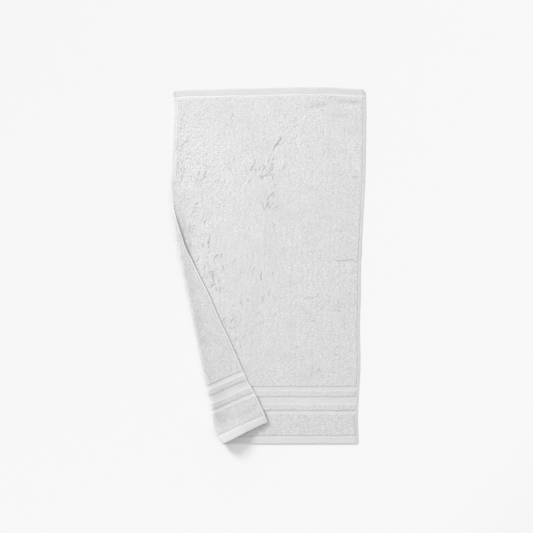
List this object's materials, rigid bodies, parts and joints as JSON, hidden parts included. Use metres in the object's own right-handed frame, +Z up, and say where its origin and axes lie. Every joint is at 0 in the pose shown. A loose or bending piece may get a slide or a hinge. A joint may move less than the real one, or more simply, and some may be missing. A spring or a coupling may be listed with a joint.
{
  "type": "hand towel",
  "caption": "White terry hand towel lying flat, one long side folded over on a slant, with raised woven ridges in a flat border near one end.",
  "frame": {"origin": "on the surface the towel lies on, under the middle of its outline", "axes": "+X across the towel away from the folded side, +Y along its length towards the plain end, +Z up"},
  "size_m": [0.4968, 0.9096, 0.032],
  "materials": {
    "terry": "matt cotton loop pile with flat-woven borders and hems"
  },
  "bodies": {
    "root": {"towel": "terry"}
  },
  "joints": []
}
